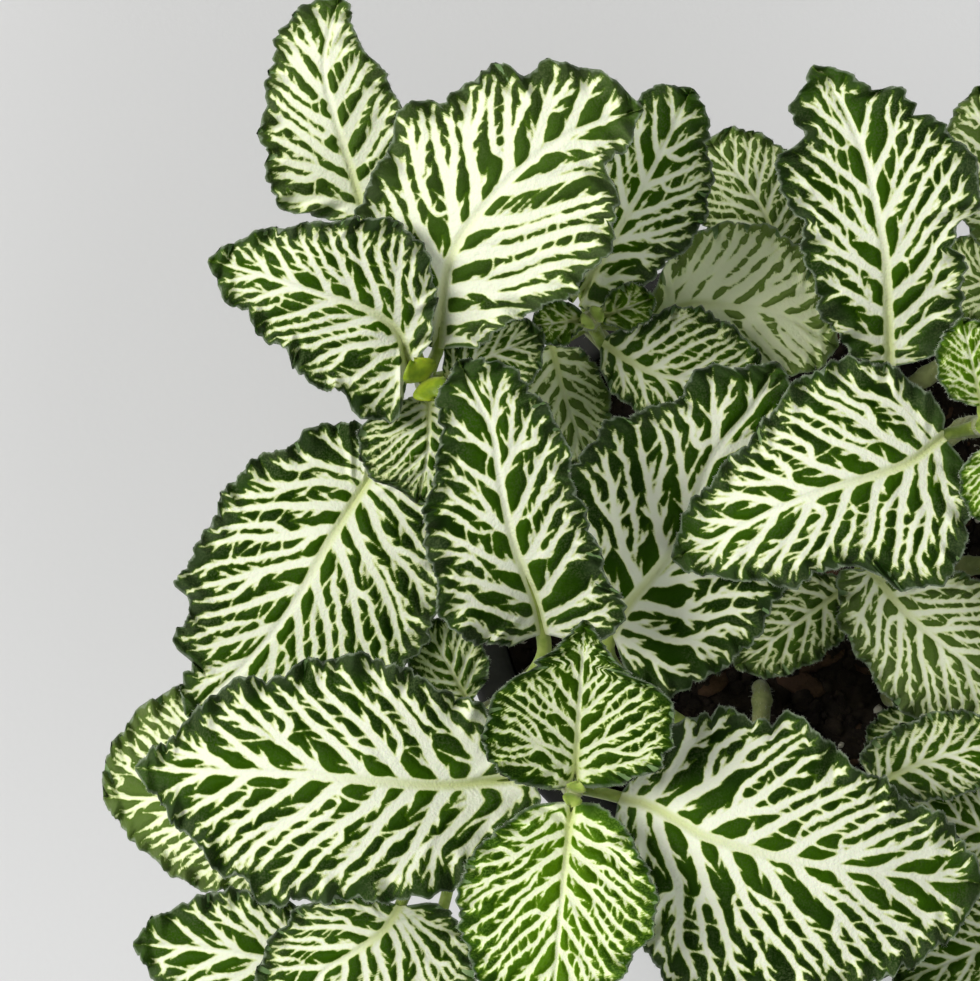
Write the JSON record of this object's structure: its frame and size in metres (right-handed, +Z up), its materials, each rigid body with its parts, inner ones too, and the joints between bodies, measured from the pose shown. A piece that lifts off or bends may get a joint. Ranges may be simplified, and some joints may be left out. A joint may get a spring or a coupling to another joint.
{
  "type": "potted nerve plant",
  "caption": "Low spreading house plant in a plain round pot, with broad oval dark green leaves closely netted with creamy white veins.",
  "frame": {"origin": "centre of the pot's flat base, which stands on the surface", "axes": "+Z up along the pot's axis; +Y is the top of the picture, which looks straight down, and +X its right"},
  "size_m": [0.1905, 0.1923, 0.165],
  "materials": {
    "clay": "matt unglazed",
    "soil": "loose, damp",
    "stem": "satin, finely hairy",
    "leaf": "satin, finely hairy",
    "young_leaf": "satin, finely hairy"
  },
  "bodies": {
    "root": {"pot": "clay", "soil": "soil", "stem_a": "stem", "stem_b": "stem", "stem_c": "stem", "stem_d": "stem", "stem_e": "stem", "stem_f": "stem", "stem_g": "stem", "stem_h": "stem", "stem_i": "stem", "stem_j": "stem", "stem_k": "stem", "leaf_f3": "leaf", "leaf_f4": "leaf", "leaf_d7": "leaf", "leaf_c5": "leaf", "leaf_c4": "leaf", "leaf_c3": "leaf", "leaf_i1": "leaf", "leaf_i2": "leaf", "leaf_j2": "leaf", "leaf_j1": "leaf", "leaf_h4": "leaf", "leaf_d6": "leaf", "leaf_d5": "leaf", "leaf_f2": "leaf", "leaf_e2": "leaf", "leaf_c2": "leaf", "leaf_a5": "leaf", "leaf_a6": "leaf", "leaf_d3": "leaf", "leaf_d4": "leaf", "leaf_d1": "young_leaf", "leaf_d2": "young_leaf", "leaf_e1": "leaf", "leaf_f1": "leaf", "leaf_i4": "leaf", "leaf_i3": "leaf", "leaf_h1": "leaf", "leaf_h2": "leaf", "leaf_h3": "leaf", "leaf_j3": "leaf", "leaf_j4": "leaf", "leaf_k4": "leaf", "leaf_k1": "leaf", "leaf_k2": "leaf", "leaf_k3": "leaf", "leaf_g1": "leaf", "leaf_a4": "leaf", "leaf_a3": "leaf", "leaf_a1": "leaf", "leaf_a2": "leaf", "leaf_c1": "leaf", "leaf_b3": "leaf", "leaf_b4": "leaf", "leaf_b1": "young_leaf", "leaf_b2": "young_leaf", "leaf_g2": "young_leaf", "leaf_g3": "young_leaf"}
  },
  "joints": []
}
